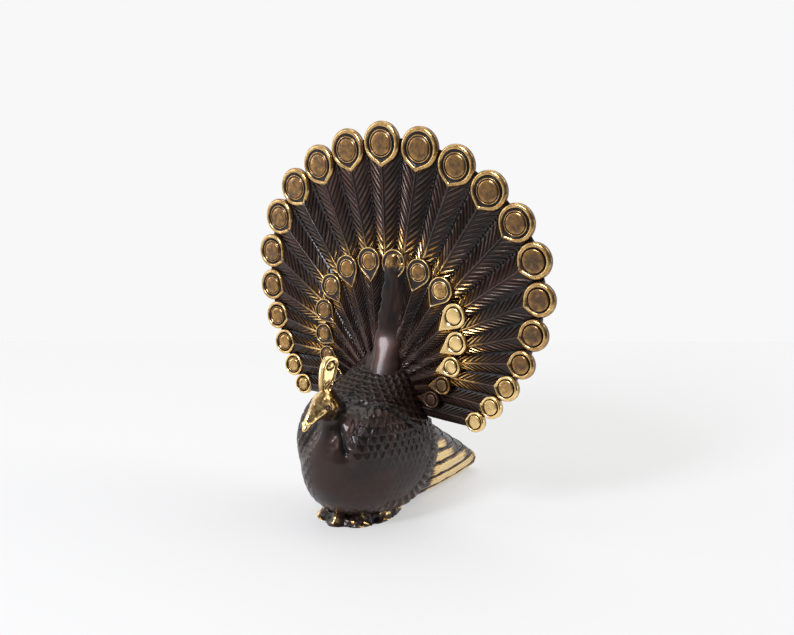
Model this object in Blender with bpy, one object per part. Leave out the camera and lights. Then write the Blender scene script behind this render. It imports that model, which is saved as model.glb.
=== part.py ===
"""Peacock figurine, a small brass casting with its tail feathers raised in a fan.

The bird faces -Y, up is +Z, and it stands on the ground plane z = 0. Free forms are
written in figure units: 1 unit is 1/113 of the figure's height.
"""
import bpy
import bmesh
import math
from mathutils import Vector

# Driving dimensions, in metres
figure_height = 0.113
fan_thickness = 0.0016
eye_proud = 0.0009
eye_groove_depth = 0.0007
quill_proud = 0.0006
pad_half_width = 0.0103
pad_length = 0.0280
pad_height = 0.0050
crest_thickness = 0.0017

unit = figure_height / 113.0
depth_shift = 2.5
thickness = fan_thickness / unit
proud = eye_proud / unit
groove = eye_groove_depth / unit
quill = quill_proud / unit
plate_middle = proud + 0.5 * thickness

# Counts
outer_pairs = 11
inner_pairs = 7
outer_eye_sides = 10
inner_eye_sides = 8

# The two rings of feather eyes: centre height, first and second angle term in degrees,
# radius, where the ring bulges sideways, and how far it is turned about its centre
outer_ring = dict(height=62.9, step=17.6, tighten=0.446, radius=44.9,
                  bulge=4.1, bulge_at=74.8, bulge_width=33.0, skew=0.0)
inner_ring = dict(height=50.2, step=22.8, tighten=0.644, radius=22.8,
                  bulge=2.4, bulge_at=57.3, bulge_width=36.7, skew=2.5)
quill_root_height = 26.0
inner_lift = 1.5


def clear_scene():
    for item in list(bpy.data.objects):
        bpy.data.objects.remove(item, do_unlink=True)


def fan_y(x, z):
    """Where the eyes of the fan lie: it leans back and curls back at sides and top."""
    rise = z - 57.2
    return 0.117 * rise + 0.0015 * x * x - 0.0004 * rise ** 2 - 0.0000021 * rise ** 3


def ring_place(ring, turn):
    """Place of an eye on a ring; turn counts eyes from the top, negative on the left."""
    count = abs(turn)
    angle = ring["step"] * count - ring["tighten"] * count * count
    swell = math.exp(-((angle - ring["bulge_at"]) / ring["bulge_width"]) ** 2)
    radius = ring["radius"] + ring["bulge"] * swell
    bearing = math.radians(math.copysign(angle, turn) + ring["skew"])
    return radius * math.sin(bearing), ring["height"] + radius * math.cos(bearing)


def outer_turns():
    return [pair + 0.5 for pair in range(-outer_pairs, outer_pairs)]


def inner_turns():
    return [float(pair) for pair in range(-inner_pairs, inner_pairs + 1)]


def eye_radius(ring, turn, share):
    """Eyes nearly touch their neighbours, so their radius follows the spacing."""
    x0, z0 = ring_place(ring, turn - 0.5)
    x1, z1 = ring_place(ring, turn + 0.5)
    return share * math.hypot(x1 - x0, z1 - z0)


def power(value, exponent):
    """A signed power: below 1 it makes round sections fuller."""
    return math.copysign(abs(value) ** exponent, value)


def smooth_stations(stations, count):
    """Catmull-Rom stations through the given ones, evenly spread by index."""
    result = []
    last = len(stations) - 1
    for index in range(count):
        place = index * last / (count - 1)
        low = min(int(place), last - 1)
        part = place - low
        before = stations[max(low - 1, 0)]
        start = stations[low]
        end = stations[low + 1]
        after = stations[min(low + 2, last)]
        row = []
        for p0, p1, p2, p3 in zip(before, start, end, after):
            curve = 2 * p1 + (p2 - p0) * part
            curve += (2 * p0 - 5 * p1 + 4 * p2 - p3) * part ** 2
            curve += (3 * p1 - p0 - 3 * p2 + p3) * part ** 3
            row.append(0.5 * curve)
        result.append(row)
    return result


def make_object(name, points, faces):
    """A mesh object in metres, moved so that the origin is under the figure's middle."""
    placed = [Vector((x, y + depth_shift, z)) * unit for x, y, z in points]
    mesh = bpy.data.meshes.new(name)
    mesh.from_pydata(placed, [], faces)
    work = bmesh.new()
    work.from_mesh(mesh)
    bmesh.ops.remove_doubles(work, verts=work.verts, dist=0.000001)
    bmesh.ops.recalc_face_normals(work, faces=work.faces)
    bmesh.ops.triangulate(work, faces=work.faces)
    work.to_mesh(mesh)
    work.free()
    result = bpy.data.objects.new(name, mesh)
    bpy.context.scene.collection.objects.link(result)
    return result


def skin(rings):
    """Points and faces of a closed skin over rings of equal length, with flat caps."""
    points = [point for ring in rings for point in ring]
    sides = len(rings[0])
    faces = []
    for row in range(len(rings) - 1):
        for side in range(sides):
            turn = (side + 1) % sides
            low, high = row * sides, (row + 1) * sides
            faces.append((low + side, low + turn, high + turn, high + side))
    faces.append(tuple(range(sides)))
    faces.append(tuple(range(len(points) - sides, len(points))))
    return points, faces


def loft(name, rings):
    points, faces = skin(rings)
    return make_object(name, points, faces)


def plate(name, front, back):
    """A closed plate between two grids of the same shape, given column by column."""
    columns = len(front)
    rows = len(front[0])
    points = [point for grid in (front, back) for column in grid for point in column]
    far = columns * rows
    faces = []
    for column in range(columns - 1):
        for row in range(rows - 1):
            corner = column * rows + row
            quad = (corner, corner + 1, corner + rows + 1, corner + rows)
            faces.append(quad)
            faces.append(tuple(index + far for index in reversed(quad)))
        for row in (0, rows - 1):
            corner = column * rows + row
            faces.append((corner, corner + rows, corner + rows + far, corner + far))
    for column in (0, columns - 1):
        for row in range(rows - 1):
            corner = column * rows + row
            faces.append((corner, corner + 1, corner + 1 + far, corner + far))
    return make_object(name, points, faces)


def pleats(turns):
    """Columns across a row of feathers: a valley between two, a ridge on each quill."""
    columns = []
    for turn in turns:
        columns.extend([(turn - 0.5, -1.0), (turn, 1.0)])
    columns.append((turns[-1] + 0.5, -1.0))
    return columns


def feather_place(ring, turn, share):
    """A point on a feather's line, from the quills' common root out to its eye."""
    tip_x, tip_z = ring_place(ring, turn)
    return tip_x * share, quill_root_height + (tip_z - quill_root_height) * share


def fan_plate():
    """The big fan, from inside the short feathers out to the ring of eye centres."""
    front, back = [], []
    for turn, relief in pleats(outer_turns()):
        front_column, back_column = [], []
        for share in (0.26, 0.64, 1.02):
            x, z = feather_place(outer_ring, turn, share)
            y = fan_y(x, z) + proud
            front_column.append((x, y - quill * relief, z))
            back_column.append((x, y + thickness + 0.4 * quill * relief, z))
        front.append(front_column)
        back.append(back_column)
    return plate("fan plate", front, back)


def inner_plate():
    """The short feathers in front of the big fan, with a soft rib up their middle."""
    front, back = [], []
    for turn, relief in pleats(inner_turns()):
        front_column, back_column = [], []
        for share in (0.15, 0.45, 0.75, 1.0):
            x, z = feather_place(inner_ring, turn, share)
            y = fan_y(x, z) + proud
            middle = math.exp(-(x / 3.5) ** 2) if share > 0.3 else 0.0
            rib = 7.8 * share * (1.15 - share) * middle
            swell = inner_lift + 3.5 * (1.0 - share) ** 2 + 0.4 * quill * relief + rib
            front_column.append((x, y - swell, z))
            back_column.append((x, y + thickness + 0.4, z))
        front.append(front_column)
        back.append(back_column)
    return plate("inner plate", front, back)


def eye_rings(x, z, radius, sides, front, back, detailed):
    """A feather eye: a raised rim, then a ring groove round an inner disc, or on the
    small eyes a plain dish."""
    profile = [(0.88 * radius, back), (radius, front), (0.74 * radius, front)]
    if detailed:
        profile.extend([(0.66 * radius, front + groove), (0.56 * radius, front)])
    else:
        profile.append((0.60 * radius, front + groove))
    rings = []
    for ring_radius, depth in profile:
        ring = []
        for side in range(sides):
            angle = 2 * math.pi * (side + 0.5) / sides
            px = x + ring_radius * math.cos(angle)
            pz = z + ring_radius * math.sin(angle)
            ring.append((px, fan_y(px, pz) + depth, pz))
        rings.append(ring)
    return rings


def eye_set(name, ring, turns, share, sides, front, back, detailed):
    """All the eyes of one ring, which stand clear of each other."""
    points = []
    faces = []
    for turn in turns:
        x, z = ring_place(ring, turn)
        radius = eye_radius(ring, turn, share)
        start = len(points)
        eye_points, eye_faces = skin(eye_rings(x, z, radius, sides, front, back, detailed))
        points.extend(eye_points)
        faces.extend([tuple(start + index for index in face) for face in eye_faces])
    return make_object(name, points, faces)


def body():
    """Horizontal sections of the body: height, front, back, half width."""
    stations = ((1.8, -22.0, -3.0, 7.5), (3.4, -26.6, 1.0, 11.6), (6.0, -30.0, 4.0, 14.6),
                (10.0, -32.8, 5.5, 16.4), (15.0, -34.5, 7.0, 17.4), (22.0, -34.4, 7.5, 17.4),
                (28.0, -32.4, 6.5, 16.4), (33.0, -28.9, 5.5, 14.4), (37.0, -23.0, 5.0, 12.0),
                (40.5, -14.5, 4.5, 10.4), (44.0, -8.0, 4.5, 8.4), (48.0, -4.5, 4.5, 5.8),
                (52.0, -1.8, 4.5, 3.0))
    sides = 24
    rings = []
    for height, front, back, half in smooth_stations(stations, 15):
        middle = min(0.5 * (front + back) + 3.5, back - 2.0)
        ring = []
        for side in range(sides):
            angle = 2 * math.pi * side / sides
            along = -math.cos(angle)
            reach = (middle - front) if along < 0 else (back - middle)
            ring.append((half * math.sin(angle), middle + reach * along, height))
        rings.append(ring)
    return loft("body", rings)


def wing(side):
    """A folded wing: an egg-shaped shell that stands proud of the body's side."""
    count = 7
    sides = 22
    rings = []
    for row in range(count):
        angle = math.pi * (row + 0.3) / (count - 0.4)
        out = power(math.cos(angle), 0.8)
        girth = power(math.sin(angle), 0.8)
        ring = []
        for step in range(sides):
            turn = 2 * math.pi * step / sides
            along, up = girth * math.cos(turn), girth * math.sin(turn)
            skew = 1.0 - 0.14 * math.cos(turn) * math.sin(turn)
            spread = 10.4 + 2.8 * along
            ring.append((side * (7.4 + spread * out), -13.3 + 18.0 * along * skew,
                         20.8 + 16.4 * up * skew))
        rings.append(ring)
    return loft("wing", rings)


def neck_and_head():
    """Sections up the neck, over the crown and down the beak: the front or lower
    point, the back or upper point, and the half width."""
    stations = ((-32.5, 18.0, -16.0, 18.0, 8.5), (-33.0, 25.0, -18.0, 26.0, 7.6),
                (-31.8, 30.0, -21.0, 31.5, 6.0), (-31.3, 32.4, -22.8, 35.6, 5.0),
                (-32.4, 33.6, -24.4, 39.6, 4.8), (-34.0, 34.2, -28.0, 43.2, 4.8),
                (-35.8, 34.3, -31.8, 43.4, 4.5), (-37.4, 34.0, -34.8, 41.6, 3.5),
                (-39.0, 33.3, -37.4, 39.2, 2.5), (-40.6, 32.5, -39.8, 36.6, 1.6),
                (-42.0, 31.6, -41.8, 33.4, 0.7))
    sides = 12
    rings = []
    for low_y, low_z, high_y, high_z, half in smooth_stations(stations, 15):
        ring = []
        for side in range(sides):
            turn = 2 * math.pi * side / sides
            share = 0.5 - 0.5 * math.cos(turn)
            ring.append((half * math.sin(turn), low_y + (high_y - low_y) * share,
                         low_z + (high_z - low_z) * share))
        rings.append(ring)
    return loft("head", rings)


def crest():
    """The upright crest: a flat feather with a rounded top, edge on to the front."""
    half = 0.5 * crest_thickness / unit
    middle_y, middle_z = -29.6, 45.5
    outline = [(-33.2, 40.5), (-33.0, 44.0)]
    for step in range(7):
        turn = math.pi * (1.0 - step / 6.0)
        outline.append((-28.9 + 3.4 * math.cos(turn), 48.0 + 3.4 * math.sin(turn)))
    outline.extend([(-27.2, 43.5), (-27.6, 40.5)])
    rings = []
    for x, inset in ((-half, 0.82), (-0.6 * half, 1.0), (0.6 * half, 1.0), (half, 0.82)):
        rings.append([(x, middle_y + (y - middle_y) * inset, middle_z + (z - middle_z) * inset)
                      for y, z in outline])
    return loft("crest", rings)


def foot_pad():
    """The pad under the body, with toes round its front edge and a flat underside."""
    half_width = pad_half_width / unit
    length = pad_length / unit
    height = pad_height / unit
    sides = 32
    rings = []
    for rise, spread in ((0.0, 1.0), (0.24, 1.03), (0.60, 0.90), (1.3, 0.70)):
        ring = []
        for side in range(sides):
            turn = 2 * math.pi * side / sides
            back = math.cos(turn)
            toes = 1.0 + 0.07 * math.cos(8 * turn) * max(0.0, -back)
            reach = (0.46 if back < 0 else 0.54) * length
            ring.append((half_width * spread * toes * math.sin(turn),
                         -15.6 + reach * spread * toes * back, height * rise))
        rings.append(ring)
    return loft("pad", rings)


def lower_tail():
    """The short lower tail: long feathers that close to a blunt end near the ground."""
    stations = ((-2.0, 0.9, 25.0, 13.0), (6.0, 0.6, 24.5, 13.4), (13.0, 0.4, 21.5, 12.4),
                (20.0, 0.3, 17.0, 11.0), (28.0, 0.4, 12.0, 9.2), (34.0, 0.9, 7.8, 7.8),
                (37.0, 1.8, 5.6, 6.4))
    sides = 24
    rings = []
    for y, low, high, half in stations:
        ring = []
        for side in range(sides):
            turn = 2 * math.pi * side / sides
            ridge = 1.0 - 0.04 * math.cos(8 * turn)
            drop = 0.5 * (high - low) * ridge * power(math.cos(turn), 0.8)
            ring.append((half * ridge * power(math.sin(turn), 0.8), y,
                         0.5 * (low + high) - drop))
        rings.append(ring)
    return loft("lower tail", rings)


def join_by_union(base, others):
    for other in others:
        step = base.modifiers.new("union", "BOOLEAN")
        step.operation = "UNION"
        step.solver = "EXACT"
        step.object = other
        graph = bpy.context.evaluated_depsgraph_get()
        joined = bpy.data.meshes.new_from_object(base.evaluated_get(graph))
        base.modifiers.clear()
        base.data = joined
        bpy.data.objects.remove(other, do_unlink=True)


def brass():
    material = bpy.data.materials.new("brass")
    material.use_nodes = True
    shader = material.node_tree.nodes["Principled BSDF"]
    shader.inputs["Base Color"].default_value = (0.16, 0.11, 0.07, 1.0)
    shader.inputs["Metallic"].default_value = 1.0
    shader.inputs["Roughness"].default_value = 0.38
    return material


clear_scene()
peacock = body()
peacock.name = "peacock"
pieces = [wing(-1.0), wing(1.0), neck_and_head(), crest(), foot_pad(), lower_tail(),
          fan_plate(), inner_plate(),
          eye_set("outer eyes", outer_ring, outer_turns(), 0.44, outer_eye_sides,
                  0.0, plate_middle, True),
          eye_set("inner eyes", inner_ring, inner_turns(), 0.42, inner_eye_sides,
                  -inner_lift, plate_middle, False)]
join_by_union(peacock, pieces)
peacock.data.name = "peacock"
peacock.data.materials.clear()
peacock.data.materials.append(brass())
peacock.data.shade_flat()
print("triangles", sum(len(face.vertices) - 2 for face in peacock.data.polygons))
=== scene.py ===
import math
import bmesh
import bpy
import numpy as np
from mathutils import Matrix, Vector
from mathutils.bvhtree import BVHTree


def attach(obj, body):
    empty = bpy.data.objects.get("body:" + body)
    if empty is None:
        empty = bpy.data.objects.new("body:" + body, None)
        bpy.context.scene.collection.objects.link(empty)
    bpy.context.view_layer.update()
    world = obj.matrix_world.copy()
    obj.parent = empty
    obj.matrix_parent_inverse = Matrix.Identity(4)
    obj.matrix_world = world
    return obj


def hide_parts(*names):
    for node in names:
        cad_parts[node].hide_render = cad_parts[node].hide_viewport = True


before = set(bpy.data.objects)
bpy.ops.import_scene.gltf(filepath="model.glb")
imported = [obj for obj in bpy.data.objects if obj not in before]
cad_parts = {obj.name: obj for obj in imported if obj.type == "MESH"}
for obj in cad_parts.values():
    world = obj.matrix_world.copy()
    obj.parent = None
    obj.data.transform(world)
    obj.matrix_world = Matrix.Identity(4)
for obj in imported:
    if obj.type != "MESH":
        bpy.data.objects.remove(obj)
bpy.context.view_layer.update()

# Shapes are written in millimetres. The bird faces -Y and stands on z = 0.
mm = 0.001
depthShift = 2.5  # the origin lies under the middle of the figure's depth
bodyName = "root"
nodeName = "peacock"


def linear(hexText, alpha=1.0):
    # sRGB hex to the linear colour that the shaders want
    parts = [int(hexText[i:i + 2], 16) / 255 for i in (1, 3, 5)]
    parts = [c / 12.92 if c <= 0.04045 else ((c + 0.055) / 1.055) ** 2.4 for c in parts]
    return (*parts, alpha)


def addNode(tree, kind, links=None, **settings):
    # a node with its settings; links maps a socket to a value or to another node's socket
    node = tree.nodes.new(kind)
    for key, value in settings.items():
        setattr(node, key, value)
    for socket, source in (links or {}).items():
        if isinstance(source, bpy.types.NodeSocket):
            tree.links.new(source, node.inputs[socket])
        else:
            node.inputs[socket].default_value = source
    return node


def smoothStep(low, high, value):
    t = np.clip((value - low) / (high - low), 0.0, 1.0)
    return t * t * (3 - 2 * t)


def bump(distance, width):
    return np.exp(-(distance / width) ** 2)


def anglesRound(count):
    return np.linspace(0, 2 * np.pi, count, endpoint=False)


def lattice(x, y, z, seed):
    # repeatable pseudo-random values on whole-number places
    mix = np.sin(x * 127.1 + y * 311.7 + z * 74.7 + seed * 53.3) * 43758.5453
    return mix - np.floor(mix)


def softNoise(points, size, seed):
    # value noise from 0 to 1, with lumps of the given size in mm
    place = np.asarray(points) / size
    low = np.floor(place)
    part = place - low
    part = part * part * (3 - 2 * part)
    total = 0.0
    for dx in (0, 1):
        for dy in (0, 1):
            for dz in (0, 1):
                weight = ((part[:, 0] if dx else 1 - part[:, 0])
                          * (part[:, 1] if dy else 1 - part[:, 1])
                          * (part[:, 2] if dz else 1 - part[:, 2]))
                total = total + weight * lattice(low[:, 0] + dx, low[:, 1] + dy, low[:, 2] + dz, seed)
    return total


# Brass with an oxide skin: dark brown and half metallic in the hollows, painted near black there as oxide and
# painted shade, bare gold where hands rub it
patinaLook = {
    "darkBrown": "#30221d",
    "redBrown": "#452c24",
    "hollow": "#0e0b0a",
    "brightGold": "#f6d492",
    "deepGold": "#9f753f",
    "browned": "#5a4228",
    "goldRough": 0.21,
    "patinaRough": 0.42,
    "patchyRough": 0.16,
    "patinaMetal": 0.62,
    "patches": 0.55,     # how much noise breaks the worn field's edge
    "kept": 0.9,         # how much oxide and painted shade the hollows keep
    "grainSize": 0.45,   # mm, the sand-cast skin
    "wearSize": 1.5,     # mm, patches of wear
    "tintSize": 14.0,    # mm, slow changes of the brown
}


def patinatedBrass(name, look):
    material = bpy.data.materials.new(name)
    material.use_nodes = True
    tree = material.node_tree
    tree.nodes.clear()
    place = addNode(tree, "ShaderNodeTexCoord").outputs["Object"]
    worn = addNode(tree, "ShaderNodeAttribute", attribute_name="worn").outputs["Fac"]
    height = addNode(tree, "ShaderNodeAttribute", attribute_name="height").outputs["Fac"]
    patches, tint, grain = (
        addNode(tree, "ShaderNodeTexNoise", {"Vector": place, "Scale": 1 / (look[size] * mm), "Detail": detail,
                                             "Roughness": rough}).outputs["Fac"]
        for size, detail, rough in (("wearSize", 5, 0.62), ("tintSize", 2, 0.55), ("grainSize", 3, 0.55)))
    # the worn field says how likely bare metal is, noise breaks its edge, and hollows keep their dark oxide
    # and painted shade
    patchy = addNode(tree, "ShaderNodeMath", {0: patches, 1: look["patches"], 2: worn},
                     operation="MULTIPLY_ADD")
    raised = addNode(tree, "ShaderNodeMath", {0: height, 1: look["kept"], 2: patchy.outputs[0]},
                     operation="MULTIPLY_ADD")
    middle = 0.5 * look["patches"] + 0.85 * look["kept"]
    level = addNode(tree, "ShaderNodeMath", {0: raised.outputs[0], 1: middle}, operation="SUBTRACT").outputs[0]
    shine = addNode(tree, "ShaderNodeMath", {0: grain, 1: 0.5, 2: level}, operation="MULTIPLY_ADD").outputs[0]
    shares = {}
    for label, source, low, high, top in (
            ("gold", level, 0.38, 0.58, 1.0), ("browned", level, 0.16, 0.42, 0.8),
            ("reddish", tint, 0.40, 0.62, 1.0), ("raised", height, 0.0, 0.75, 1.0),
            ("rubbed", shine, 0.75, 1.20, 1.0)):
        shares[label] = addNode(tree, "ShaderNodeMapRange", {
            "Value": source, "From Min": low, "From Max": high, "To Max": top},
            interpolation_type="SMOOTHSTEP").outputs["Result"]
    # each mix goes from its first colour to its second by one share
    colours = {key: linear(value) for key, value in look.items() if isinstance(value, str)}
    # low height mixes in the hollow colour: oxide kept in the hollows, and painted shade in gaps, grooves and
    # creases
    for label, share, first, second in (
            ("brown", "reddish", "darkBrown", "redBrown"), ("patinaAndShade", "raised", "hollow", "brown"),
            ("thinPatinaAndShade", "browned", "patinaAndShade", "browned"), ("metal", "rubbed", "deepGold", "brightGold"),
            ("surface", "gold", "thinPatinaAndShade", "metal")):
        mix = addNode(tree, "ShaderNodeMix", {0: shares[share], 6: colours[first], 7: colours[second]},
                      data_type="RGBA")
        colours[label] = mix.outputs[2]
    metallic, smooth = (
        addNode(tree, "ShaderNodeMapRange", {"Value": shares["gold"], "To Min": start, "To Max": end},
                interpolation_type="SMOOTHSTEP").outputs["Result"]
        for start, end in ((look["patinaMetal"], 1.0), (look["patinaRough"] - 0.5 * look["patchyRough"],
                                                        look["goldRough"] - 0.5 * look["patchyRough"])))
    roughness = addNode(tree, "ShaderNodeMath", {0: patches, 1: look["patchyRough"], 2: smooth},
                        operation="MULTIPLY_ADD")
    skin = addNode(tree, "ShaderNodeBump", {"Height": grain, "Strength": 0.22, "Distance": 0.08 * mm})
    shader = addNode(tree, "ShaderNodeBsdfPrincipled", {
        "Base Color": colours["surface"], "Metallic": metallic, "Roughness": roughness.outputs[0],
        "Normal": skin.outputs["Normal"], "Specular IOR Level": 0.5,
        "Coat Weight": 0.34, "Coat Roughness": 0.12})
    addNode(tree, "ShaderNodeOutputMaterial", {"Surface": shader.outputs["BSDF"]})
    return material


darkBrass = patinatedBrass("patinated_brass", patinaLook)
print("stage: materials")


def addObject(name, data):
    thing = bpy.data.objects.new(name, data)
    bpy.context.scene.collection.objects.link(thing)
    return thing


def setField(mesh, label, values, kind="FLOAT"):
    # one value or vector for each point
    field = mesh.attributes.get(label) or mesh.attributes.new(label, kind, "POINT")
    field.data.foreach_set("value" if kind == "FLOAT" else "vector", np.asarray(values, np.float32).ravel())


def meshPiece(name, points, faces, worn=0.0, height=1.0):
    # a mesh object from points in mm, with the two fields that the finish reads; low height is painted dark as
    # oxide and painted shade
    points = np.asarray(points, float)
    mesh = bpy.data.meshes.new(name)
    mesh.from_pydata(((points + (0.0, depthShift, 0.0)) * mm).tolist(), [], faces)
    for label, value in (("worn", worn), ("height", height)):
        setField(mesh, label, np.broadcast_to(value, len(points)))
    return addObject(name, mesh)


def turnOutwards(piece):
    work = bmesh.new()
    work.from_mesh(piece.data)
    bmesh.ops.recalc_face_normals(work, faces=work.faces)
    work.to_mesh(piece.data)
    work.free()


def cappedFaces(rings, steps):
    # quads of a skin over rings of points, and a face over each end
    faces = []
    for low in range(0, (rings - 1) * steps, steps):
        for step in range(steps):
            turn = (step + 1) % steps
            faces.append((low + step, low + turn, low + steps + turn, low + steps + step))
    faces.append(tuple(range(steps)))
    faces.append(tuple(range((rings - 1) * steps, rings * steps)))
    return faces


def finishPiece(piece, material, sharpDegrees=60):
    # smooth shading, finish, and its place in the frame
    piece.data.materials.clear()
    piece.data.materials.append(material)
    piece.data.shade_smooth()
    piece.data.set_sharp_from_angle(angle=math.radians(sharpDegrees))
    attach(piece, bodyName)
    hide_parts(nodeName)
    print("piece:", piece.name, sum(len(face.vertices) - 2 for face in piece.data.polygons))


def ringedPiece(name, rings, worn, height, material):
    # a closed piece over rings of points in mm, with both fields for each point
    rings = np.array(rings)
    faces = cappedFaces(*rings.shape[:2])
    piece = meshPiece(name, rings.reshape(-1, 3), faces, np.ravel(worn), np.ravel(height))
    turnOutwards(piece)
    finishPiece(piece, material)
    return piece


def evaluatedMesh(piece):
    # the piece with its modifier's result as a plain mesh
    bpy.context.view_layer.update()
    graph = bpy.context.evaluated_depsgraph_get()
    result = bpy.data.meshes.new_from_object(piece.evaluated_get(graph), preserve_all_data_layers=True,
                                             depsgraph=graph)
    piece.modifiers.clear()
    piece.data = result
    result.name = piece.name


def treeWithInputs(name, inputs):
    # an empty geometry tree with named inputs; gives the tree and each input's identifier
    tree = bpy.data.node_groups.new(name, "GeometryNodeTree")
    tree.interface.new_socket("Geometry", in_out="INPUT", socket_type="NodeSocketGeometry")
    tree.interface.new_socket("Geometry", in_out="OUTPUT", socket_type="NodeSocketGeometry")
    names = {}
    for label, kind in inputs.items():
        names[label] = tree.interface.new_socket(label, in_out="INPUT", socket_type=kind).identifier
    return tree, names


def endTree(tree, geometry, material):
    real = addNode(tree, "GeometryNodeRealizeInstances", {"Geometry": geometry})
    painted = addNode(tree, "GeometryNodeSetMaterial", {"Geometry": real.outputs["Geometry"],
                                                        "Material": material})
    addNode(tree, "NodeGroupOutput", {"Geometry": painted.outputs["Geometry"]})


def copiesTree():
    # puts a copy of one small form on every point, turned and stretched by the point's own fields
    tree, names = treeWithInputs("copies_on_points", {
        "Form": "NodeSocketObject", "Material": "NodeSocketMaterial", "Size": "NodeSocketFloat"})
    given = addNode(tree, "NodeGroupInput").outputs
    form = addNode(tree, "GeometryNodeObjectInfo", {"Object": given["Form"]}, transform_space="ORIGINAL")
    turn, stretch = (
        addNode(tree, "GeometryNodeInputNamedAttribute", {"Name": label}, data_type="FLOAT_VECTOR")
        for label in ("turn", "stretch"))
    rotation = addNode(tree, "FunctionNodeEulerToRotation", {0: turn.outputs["Attribute"]})
    scaled = addNode(tree, "ShaderNodeVectorMath", {0: stretch.outputs["Attribute"], "Scale": given["Size"]},
                     operation="SCALE")
    copies = addNode(tree, "GeometryNodeInstanceOnPoints", {
        "Points": given["Geometry"], "Instance": form.outputs["Geometry"], "Rotation": rotation.outputs[0],
        "Scale": scaled.outputs["Vector"]})
    endTree(tree, copies.outputs["Instances"], given["Material"])
    return tree, names


def ridgesTree():
    # sweeps a round bead along every line of edges, as thick as the points' own field says
    tree, names = treeWithInputs("ridges_on_lines", {
        "Material": "NodeSocketMaterial", "Thickness": "NodeSocketFloat", "Sides": "NodeSocketInt"})
    given = addNode(tree, "NodeGroupInput").outputs
    lines = addNode(tree, "GeometryNodeMeshToCurve", {"Mesh": given["Geometry"]})
    thick = addNode(tree, "GeometryNodeInputNamedAttribute", {"Name": "thick"}, data_type="FLOAT")
    sized = addNode(tree, "GeometryNodeSetCurveRadius", {"Curve": lines.outputs["Curve"],
                                                         "Radius": thick.outputs["Attribute"]})
    circle = addNode(tree, "GeometryNodeCurvePrimitiveCircle", {"Resolution": given["Sides"],
                                                                "Radius": given["Thickness"]}, mode="RADIUS")
    swept = addNode(tree, "GeometryNodeCurveToMesh", {
        "Curve": sized.outputs["Curve"], "Profile Curve": circle.outputs["Curve"], "Fill Caps": True})
    endTree(tree, swept.outputs["Mesh"], given["Material"])
    return tree, names


copyTools = copiesTree()
ridgeTools = ridgesTree()


def growPiece(piece, tools, inputs):
    # runs a geometry tree on the piece and keeps the result, with the tree's material as its finish
    tree, names = tools
    maker = piece.modifiers.new("grown", "NODES")
    maker.node_group = tree
    for label, value in inputs.items():
        maker[names[label]] = value
    evaluatedMesh(piece)
    finishPiece(piece, inputs["Material"])


def frameAngles(along, outward):
    # Euler angles that turn X along, and Z outward as nearly as it goes
    result = []
    for first, last in zip(np.asarray(along, float), np.asarray(outward, float)):
        xAxis = Vector(first).normalized()
        yAxis = Vector(last).cross(xAxis).normalized()
        zAxis = xAxis.cross(yAxis)
        result.append(tuple(Matrix((xAxis, yAxis, zAxis)).transposed().to_euler()))
    return result


def copiesOnPlaces(name, form, places, along, outward, stretch, size, worn, material):
    # one piece made of a small form repeated at places in mm, each stretched along its own axes
    piece = meshPiece(name, places, [], worn, 1.0)
    piece.data.attributes.remove(piece.data.attributes["height"])  # each copy keeps the form's own
    setField(piece.data, "turn", frameAngles(along, outward), "FLOAT_VECTOR")
    setField(piece.data, "stretch", stretch, "FLOAT_VECTOR")
    growPiece(piece, copyTools, {"Form": form, "Material": material, "Size": size})


def ridgesOnLines(name, lines, thickness, worn, height, material, sides=6):
    # one piece of raised lines; each line is points in mm with a thickness share at each point
    points, edges, thick = [], [], []
    for line, shares in lines:
        start = len(points)
        points.extend(line)
        thick.extend(shares)
        edges.extend((start + i, start + i + 1) for i in range(len(line) - 1))
    piece = meshPiece(name, points, [], worn, height)
    piece.data.edges.add(len(edges))
    piece.data.edges.foreach_set("vertices", np.asarray(edges, np.int32).ravel())
    setField(piece.data, "thick", thick)
    growPiece(piece, ridgeTools, {"Material": material, "Thickness": thickness * mm, "Sides": sides})


def formObject(name, points, faces, height):
    # a small form to copy, in its own units of 1 mm, turned faces out
    mesh = bpy.data.meshes.new(name)
    mesh.from_pydata((np.asarray(points, float) * mm).tolist(), [], faces)
    setField(mesh, "height", height)
    form = addObject(name, mesh)
    turnOutwards(form)
    return form


# The fan: two rings of feathers, the long ones behind and the short ones in front
fanShape = {
    "eyeProud": 0.9,
    "quillProud": 0.6,
    "thickness": 1.6,
    "sides": (3.5, 7.5),  # the turns between which the middle's feathers change to the sides' ones
}
longFeathers = {
    "name": "long", "pairs": 11, "first": 0.5, "plateRows": (90, 24), "plateColumns": 16,
    "height": 62.9, "step": 17.6, "tighten": 0.446, "radius": 44.9,
    "bulge": 4.1, "bulgeAt": 74.8, "bulgeWidth": 33.0, "skew": 0.0,
    "lift": 0.0, "swell": 0.0, "root": 0.05, "tip": 1.02, "pleats": 1.0, "backPleats": 1.0, "backShift": 0.0,
    "rootTurns": (0, 8, 9, 10, 11), "rootHeights": (44, 44, 41, 36, 30),
    "barbsPerLength": 33.0, "barbFrom": 0.22, "barbSlope": 1.15, "sideSlope": 0.75, "barbHeight": 0.60,
    "beadGap": 1.25, "beadSize": 0.34, "beadTo": 4.6, "quillThick": 0.34,
    "eyeNames": ("ringed_eyes", "plain_eyes"), "eyeTails": (1.17, 1.17), "plainFrom": 3.8,
    "eyeShare": 0.47, "eyeDepth": 1.9, "eyeSides": 44,
    "eyeWorn": 0.54, "eyeWornSteps": ((7, 10, 0.38), (-6, -10, 0.18)),
}
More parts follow.
